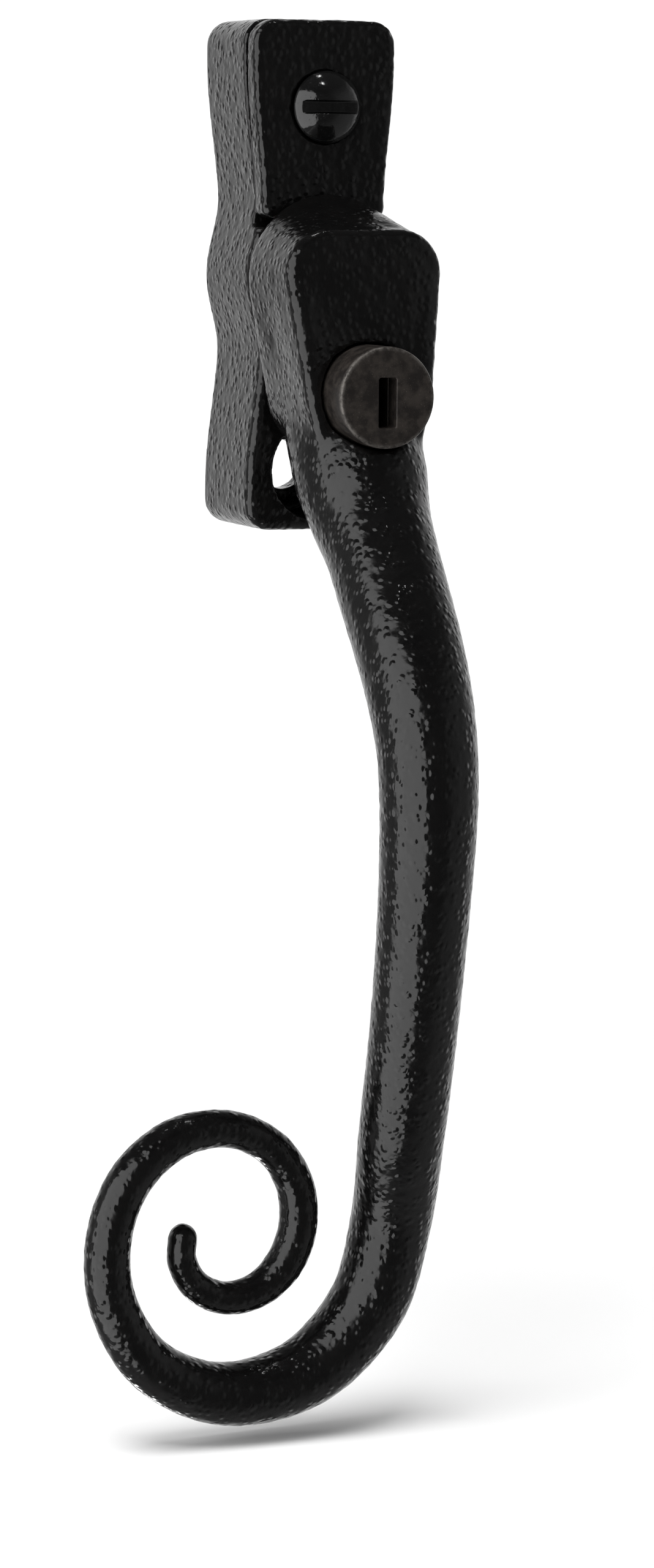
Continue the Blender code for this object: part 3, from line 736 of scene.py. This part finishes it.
def hull_edge(circles, angle):
    """Furthest point of some circles (x, z, radius) in one direction."""
    way = Vector((math.cos(angle), math.sin(angle)))
    furthest = max(circles, key=lambda c: c[0] * way.x + c[1] * way.y + c[2])
    return Vector((furthest[0], furthest[1])) + way * furthest[2]


def hull_blend(y):
    """How far the outline has changed from the rear hull to the front hull at depth y."""
    marks = [(-16.4, 0.0), (-17.1, 0.0), (-21.0, 0.3), (-25.8, 0.72), (-29.0, 1.0), (-31.0, 1.0)]
    return float(np.interp(-y, [-m for m, _ in marks], [s for _, s in marks]))


def lean(z):
    """How far the front of the head steps back above the lock."""
    t = min(max((z + 12.5) / 11.0, 0.0), 1.0)
    return 2.2 * t * t * (3.0 - 2.0 * t)


def head_ring(y, shrink):
    """One ring of the head, drawn in a little between the spindle and the lock."""
    blend = hull_blend(y)
    ring = []
    for i in range(180):
        angle = 2.0 * math.pi * (i + 0.5) / 180
        point = hull_edge(REAR_HULL, angle).lerp(hull_edge(FRONT_HULL, angle), blend)
        pinch = math.exp(-((point.y + 5.6) / 4.2) ** 2)
        point = Vector((point.x * (1.0 - (0.02 + 0.075 * blend) * pinch), point.y))
        point -= Vector((math.cos(angle), math.sin(angle))) * shrink
        ring.append((point.x, y + blend * lean(point.y), point.y))
    return ring


head_rings = [head_ring(y, shrink) for shrink, y in reversed(quarter(0.6, HEAD_REAR_Y, -1.0))]
for i in range(12):
    head_rings.append(head_ring(-17.6 - 11.6 * i / 11, 0.0))
for shrink, y in quarter(1.15, HEAD_FRONT_Y, 1.0, 10):
    head_rings.append(head_ring(y, shrink))
lever = solid_from_rings("lever_casting", head_rings)
print("head depth in mm:", HEAD_REAR_Y - HEAD_FRONT_Y)

# %% [markdown]
# ## Neck, grip and scroll
#
# The bar was forged in the old handles: it swells at the neck, tapers down the grip
# and curls into a scroll that gets thinner all the way to its tip. A curve object with
# a bevel could do it, but sweeping rings along a centreline gives full control of the
# diameter at each point. Rows of (x, y, z, diameter) are joined by a Catmull-Rom curve.

# %% Centreline of the bar
GRIP_ROWS = [
    (0.0, -23.4, -15.0, 15.2), (0.0, -27.5, -21.2, 15.6), (0.0, -30.8, -26.0, 14.1),
    (0.0, -34.0, -29.6, 13.1), (0.0, -38.2, -34.9, 12.8), (0.0, -42.2, -40.0, 12.5),
    (0.0, -45.5, -45.2, 12.1), (0.0, -47.8, -51.0, 11.6), (0.0, -48.5, -58.0, 11.3),
    (0.0, -47.8, -67.0, 10.8), (0.0, -46.3, -77.0, 10.4), (0.0, -44.3, -87.0, 10.2),
    (0.0, -41.8, -97.0, 10.1),
]
SCROLL_CENTRE = (-20.0, -37.0, -108.0)
SCROLL_LEAD = (-1.0, -0.3)
SCROLL_STEPS = [
    (20.45, 9.6), (20.5, 9.25), (20.45, 8.5), (19.5, 7.45), (17.85, 6.35), (15.9, 5.65),
    (14.5, 5.35), (13.75, 5.2), (13.05, 4.85), (12.1, 4.4), (11.0, 4.35), (9.85, 4.5),
    (9.0, 4.6), (8.6, 4.55), (8.4, 4.2), (8.0, 3.9), (7.3, 3.65), (6.3, 3.5),
]


def scroll_row(turn, distance, diameter, lead=0.0):
    """Row of the bar after a turn of the scroll, in degrees."""
    angle = math.radians(turn)
    x = SCROLL_CENTRE[0] + distance * math.cos(angle)
    z = SCROLL_CENTRE[2] - distance * math.sin(angle)
    return (x, SCROLL_CENTRE[1] + lead, z, diameter)


bar_rows = list(GRIP_ROWS)
for i, (distance, diameter) in enumerate(SCROLL_STEPS):
    bar_rows.append(scroll_row(30.0 * i, distance, diameter, SCROLL_LEAD[i] if i < 2 else 0.0))
bar_rows.append(scroll_row(536.0, 5.4, 3.4))
bar_table = np.array(bar_rows)


def bar_at(position):
    """Centre and radius of the bar at a fractional row number."""
    last = len(bar_table) - 1
    k = min(int(position), last - 1)
    t = position - k
    p1, p2 = bar_table[k], bar_table[k + 1]
    p0 = bar_table[k - 1] if k > 0 else 2.0 * p1 - p2
    p3 = bar_table[k + 2] if k + 2 <= last else 2.0 * p2 - p1
    slope = p2 - p0
    square = 2.0 * p0 - 5.0 * p1 + 4.0 * p2 - p3
    cubic = 3.0 * p1 - p0 - 3.0 * p2 + p3
    row = p1 + 0.5 * (slope * t + square * t * t + cubic * t ** 3)
    return Vector(row[:3]), float(row[3]) / 2.0


# %% Sweep the bar
def swept_bar(name, sides=56, spacing=0.7):
    """Round bar along the centreline with a ball end."""
    last = len(bar_table) - 1.0
    position = 0.0
    stations = []
    while position < last:
        stations.append(bar_at(position))
        ahead, _ = bar_at(min(position + 0.01, last))
        speed = max((ahead - stations[-1][0]).length / 0.01, 0.1)
        position += spacing / speed
    end, end_radius = bar_at(last)
    heading = (end - stations[-1][0]).normalized()
    if (end - stations[-1][0]).length < 0.3:
        stations.pop()
    for i in range(12):
        swing = 0.5 * math.pi * i / 12.5
        stations.append((end + heading * end_radius * math.sin(swing), end_radius * math.cos(swing)))
    side = Vector((1.0, 0.0, 0.0))
    rings = []
    for i, (centre, radius) in enumerate(stations):
        before = stations[max(i - 1, 0)][0]
        after = stations[min(i + 1, len(stations) - 1)][0]
        along = (after - before).normalized()
        side = (side - along * side.dot(along)).normalized()
        across = along.cross(side)
        ring = []
        for k in range(sides):
            angle = 2.0 * math.pi * k / sides
            ring.append(centre + (side * math.cos(angle) + across * math.sin(angle)) * radius)
        rings.append(ring)
    return solid_from_rings(name, rings)


combine(lever, swept_bar("bar_tool"), "UNION")
combine(lever, turned("spigot_tool", [(6.0, -18.0), (6.0, -9.2)]), "UNION")

# %% Bore the head and melt it into one casting
LOCK_BORE = 6.2


def cut_square(half, chamfer):
    """Square outline with its corners cut off."""
    near = half - chamfer
    return [(half, -near), (half, near), (near, half), (-near, half),
            (-half, near), (-half, -near), (-near, -half), (near, -half)]


lever_cuts = [
    turned("lock_bore", [(LOCK_BORE, -45.0), (LOCK_BORE, -18.7), (2.4, -18.7), (2.4, -10.0)], z=LOCK_Z),
    block("spindle_socket", cut_square(3.8, 0.9), -26.7, -5.0),
    turned_across("grub_bore", [(2.3, 1.0), (2.3, 14.0)], -21.5, 0.0),
    turned_across("pin_bore", [(1.2, 5.0), (1.2, 12.0)], -25.2, LOCK_Z),
]
for cut in lever_cuts:
    combine(lever, cut, "DIFFERENCE")
one_skin(lever, 0.35, 3)

# %% [markdown]
# ## Fillet where the neck leaves the head
#
# A mould never leaves a sharp inside corner. Ordinary smoothing would also wear down
# the outer edges, so this one only ever adds metal: a vertex moves towards the mean of
# its neighbours when that lies outside the surface, and stays where it is otherwise.


# %% Fill the inside corner
def fill_creases(target, rounds, mask_of):
    """Raise hollow creases until they are smooth, where the mask allows it."""
    mesh = target.data
    places = corner_positions(mesh)
    ends = np.zeros(2 * len(mesh.edges), np.int64)
    mesh.edges.foreach_get("vertices", ends)
    a, b = ends.reshape(-1, 2).T
    total = len(places)
    neighbours = np.bincount(a, minlength=total) + np.bincount(b, minlength=total)
    mask = mask_of(places)
    start = places.copy()
    for turn in range(rounds):
        if turn % 8 == 0:
            mesh.vertices.foreach_set("co", places.astype(np.float32).ravel())
            mesh.update()
            normals = corner_normals(mesh)
        mean = np.stack([
            np.bincount(a, places[b, k], total) + np.bincount(b, places[a, k], total) for k in range(3)
        ], axis=1) / neighbours[:, None]
        rise = ((mean - places) * normals).sum(axis=1)
        places += normals * (np.clip(rise, 0.0, None) * 0.9 * mask)[:, None]
    mesh.vertices.foreach_set("co", places.astype(np.float32).ravel())
    mesh.update()
    print("fillet adds up to", round(1000 * float(np.linalg.norm(places - start, axis=1).max()), 2), "mm")


def neck_mask(places):
    """One near the neck and away from the lock's bore and the rear face."""
    from_lock = np.hypot(places[:, 0], places[:, 2] - LOCK_Z * MM)
    outside_bore = np.clip((from_lock - 0.0068) / 0.0015, 0.0, 1.0)
    above_grip = np.clip((places[:, 2] + 0.036) / 0.006, 0.0, 1.0)
    below_spindle = np.clip((-0.006 - places[:, 2]) / 0.004, 0.0, 1.0)
    off_rear = np.clip((-places[:, 1] - 0.0172) / 0.0015, 0.0, 1.0)
    return outside_bore * (above_grip * below_spindle) * off_rear


fill_creases(lever, 90, neck_mask)
hammer(lever, 1.2, 0.075)
lever.data.materials.append(lever_coat)
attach(lever, "lever")
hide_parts("lever")

# %% [markdown]
# ## Lock barrel
#
# The push lock is a turned barrel in dark gunmetal: satin, a little brown and speckled,
# with a painted highlight: a lighter ring painted along the rim. The key slot is a real
# cut through the face, with a turning core behind it.

# %% Barrel and slot
barrel_low, barrel_high = (1000 * corner_point for corner_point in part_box("lock_plunger"))
BARREL_RADIUS = 5.9
BARREL_WALL = 2.4
KEY_HALF_WIDTH = 1.1
KEY_HALF_HEIGHT = 2.9
KEY_Z = LOCK_Z - 0.6
barrel_profile = []
for shrink, y in reversed(quarter(0.15, barrel_high.y, -1.0, 3)):
    barrel_profile.append((BARREL_RADIUS - shrink, y))
for shrink, y in quarter(0.38, barrel_low.y, 1.0, 6):
    barrel_profile.append((BARREL_RADIUS - shrink, y))
barrel = turned("lock_barrel", barrel_profile, z=LOCK_Z, sides=144)
key_outline = [(-KEY_HALF_WIDTH, KEY_Z - KEY_HALF_HEIGHT), (KEY_HALF_WIDTH, KEY_Z - KEY_HALF_HEIGHT),
               (KEY_HALF_WIDTH, KEY_Z + KEY_HALF_HEIGHT), (-KEY_HALF_WIDTH, KEY_Z + KEY_HALF_HEIGHT)]
room_front = barrel_low.y + BARREL_WALL
groove = [(5.1, LOCK_Z - 1.3), (8.1, LOCK_Z - 1.3), (8.1, LOCK_Z + 1.3), (5.1, LOCK_Z + 1.3)]
combine(barrel, turned("core_room", [(4.3, room_front), (4.3, -18.0)], z=LOCK_Z), "DIFFERENCE")
combine(barrel, block("key_cut", key_outline, -45.0, room_front + 1.0), "DIFFERENCE")
combine(barrel, block("pin_groove", groove, -30.5, -23.9), "DIFFERENCE")
one_skin(barrel, 0.14, 2)

# %% Gunmetal, with a painted highlight on the rim
gunmetal, gun_shader, gun_where = fresh_material("gunmetal_satin", (0.05, 0.045, 0.042), 0.55, 0.42)
gun_tree = gunmetal.node_tree
blotches = noise_layer(gunmetal, gun_where, 1.4, 4.0, 0.62)
fine_specks = noise_layer(gunmetal, gun_where, 0.16, 2.0, 0.6)
split = gun_tree.nodes.new("ShaderNodeSeparateXYZ")
gun_tree.links.new(gun_where.outputs["Object"], split.inputs["Vector"])


def math_step(tree, operation, first, second):
    """One math node; each input is a socket or a number."""
    node = tree.nodes.new("ShaderNodeMath")
    node.operation = operation
    for socket, value in zip(node.inputs, (first, second)):
        if isinstance(value, (int, float)):
            socket.default_value = value
        else:
            tree.links.new(value, socket)
    return node.outputs["Value"]


height_from_lock = math_step(gun_tree, "SUBTRACT", split.outputs["Z"], LOCK_Z * MM)
across_squared = math_step(gun_tree, "MULTIPLY", split.outputs["X"], split.outputs["X"])
up_squared = math_step(gun_tree, "MULTIPLY", height_from_lock, height_from_lock)
from_axis = math_step(gun_tree, "SQRT", math_step(gun_tree, "ADD", across_squared, up_squared), 0.0)
# Painted highlight: a lighter ring painted along the barrel's front rim and broken up by noise.
near_rim = ranged(gunmetal, from_axis, 0.0053, 0.00585, 0.0, 1.0)
face_start = (barrel_low.y + 0.15) * MM
face_end = (barrel_low.y + 0.75) * MM
near_face = ranged(gunmetal, split.outputs["Y"], face_start, face_end, 1.0, 0.0)
painted_rim_band = math_step(gun_tree, "MULTIPLY", near_rim, near_face)
painted_rim_breakup = ranged(gunmetal, noise_layer(gunmetal, gun_where, 0.7, 4.0, 0.7), 0.36, 0.62, 0.15, 1.0)
painted_rim_highlight = math_step(gun_tree, "MULTIPLY", painted_rim_band, painted_rim_breakup)
base_tone = colour_between(gunmetal, ranged(gunmetal, blotches, 0.35, 0.68, 0.0, 1.0),
                           (0.022, 0.019, 0.0175), (0.046, 0.039, 0.034))
speckled = gun_tree.nodes.new("ShaderNodeMix")
speckled.data_type = "RGBA"
speckled.inputs["B"].default_value = (0.16, 0.14, 0.12, 1.0)
gun_tree.links.new(base_tone, speckled.inputs["A"])
gun_tree.links.new(ranged(gunmetal, fine_specks, 0.64, 0.76, 0.0, 0.6), speckled.inputs["Factor"])
# Mixes the painted rim highlight colour into the barrel's colour.
painted_rim_highlight_mix = gun_tree.nodes.new("ShaderNodeMix")
painted_rim_highlight_mix.data_type = "RGBA"
painted_rim_highlight_mix.inputs["B"].default_value = (0.13, 0.12, 0.11, 1.0)
gun_tree.links.new(speckled.outputs["Result"], painted_rim_highlight_mix.inputs["A"])
gun_tree.links.new(painted_rim_highlight, painted_rim_highlight_mix.inputs["Factor"])
gun_tree.links.new(painted_rim_highlight_mix.outputs["Result"], gun_shader.inputs["Base Color"])
gun_tree.links.new(ranged(gunmetal, blotches, 0.3, 0.7, 0.34, 0.5), gun_shader.inputs["Roughness"])
gun_normal = bumped(gunmetal, blotches, 0.03)
gun_normal = bumped(gunmetal, fine_specks, 0.012, gun_normal)
gun_tree.links.new(gun_normal, gun_shader.inputs["Normal"])
barrel.data.materials.append(gunmetal)
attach(barrel, "plunger")
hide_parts("lock_plunger")

# %% Turning core with its key slot
core_low, core_high = (1000 * corner_point for corner_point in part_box("lock_core"))
core_profile = [(3.8, core_high.y), (4.0, core_high.y - 0.2), (4.0, core_low.y + 0.2), (3.8, core_low.y)]
core = turned("keyed_core", core_profile, z=LOCK_Z)
combine(core, block("core_key_cut", key_outline, -45.0, core_low.y + 4.0), "DIFFERENCE")
bake_shape(core)
core_edge = core.modifiers.new("edge", "BEVEL")
core_edge.width = 0.12 * MM
core_edge.segments = 2
core_edge.limit_method = "ANGLE"
core.data.materials.append(gunmetal)
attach(core, "core")
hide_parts("lock_core")

# %% [markdown]
# ## Hidden metal and nylon
#
# The spindle, the index parts and the lock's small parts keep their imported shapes.
# They only need believable finishes and softened edges: zinc plate has a fine milky
# grain and rolled marks along the bar, spring steel is darker and oily, and nylon
# is slightly translucent and warm.


# %% Zinc plate, spring steel and nylon
def plated(name, dark, light, roughness, along, depth_mm):
    """Metal with fine marks drawn out along one axis."""
    material, shader, where = fresh_material(name, light, 1.0, roughness)
    tree = material.node_tree
    marks = noise_layer(material, where, 0.5, 4.0, 0.6, along)
    cloud = noise_layer(material, where, 2.2, 3.0, 0.6)
    tone = colour_between(material, ranged(material, cloud, 0.3, 0.7, 0.0, 1.0), dark, light)
    tree.links.new(tone, shader.inputs["Base Color"])
    dullness = ranged(material, marks, 0.3, 0.7, roughness - 0.06, roughness + 0.1)
    tree.links.new(dullness, shader.inputs["Roughness"])
    tree.links.new(bumped(material, marks, depth_mm), shader.inputs["Normal"])
    return material


zinc = plated("zinc_plate", (0.42, 0.43, 0.42), (0.60, 0.60, 0.57), 0.34, (1.0, 0.08, 1.0), 0.01)
spring_steel = plated(
    "oiled_spring_steel", (0.16, 0.16, 0.17), (0.33, 0.33, 0.34), 0.3, (1.0, 1.0, 0.1), 0.008
)
nylon, nylon_shader, nylon_where = fresh_material("natural_nylon", (0.74, 0.72, 0.66), 0.0, 0.45)
nylon_shader.inputs["Subsurface Weight"].default_value = 0.2
nylon_shader.inputs["Subsurface Scale"].default_value = 0.001
nylon_cloud = noise_layer(nylon, nylon_where, 1.5, 3.0, 0.6)
nylon.node_tree.links.new(colour_between(nylon, nylon_cloud, (0.68, 0.66, 0.60), (0.78, 0.76, 0.71)),
                          nylon_shader.inputs["Base Color"])
nylon.node_tree.links.new(bumped(nylon, nylon_cloud, 0.02), nylon_shader.inputs["Normal"])

kept_finish = {
    "spindle": zinc, "rear_cover": zinc, "upper_rivet": zinc, "lower_rivet": zinc, "index_cam": zinc,
    "lock_bolt": zinc, "spindle_grub_screw": spring_steel, "wave_washer": spring_steel,
    "retaining_clip": spring_steel, "index_spring_left": spring_steel, "index_spring_right": spring_steel,
    "lock_spring": spring_steel, "lock_retaining_pin": spring_steel,
    "hub_bush": nylon, "thrust_washer": nylon,
}
for node_name, finish in kept_finish.items():
    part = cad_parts[node_name]
    part.data.materials.clear()
    part.data.materials.append(finish)
    if node_name != "lock_spring":
        softened = part.modifiers.new("soft_edge", "BEVEL")
        softened.width = 0.08 * MM
        softened.segments = 2
        softened.limit_method = "ANGLE"
        softened.angle_limit = math.radians(40.0)
print("kept parts:", len(kept_finish))

# %% [markdown]
# ## Lock spring
#
# The spring is the one small part that changes its length: the barrel squeezes it when
# the lock is pushed in. A copy of the imported coil stands for it, and shortens towards
# its fixed end by exactly the barrel's travel.

# %% Lock spring copied from the imported coil
spring_coil = bpy.data.objects.new("lock_spring_coil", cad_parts["lock_spring"].data.copy())
bpy.context.scene.collection.objects.link(spring_coil)
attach(spring_coil, "lever")
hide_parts("lock_spring")
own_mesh(spring_coil)
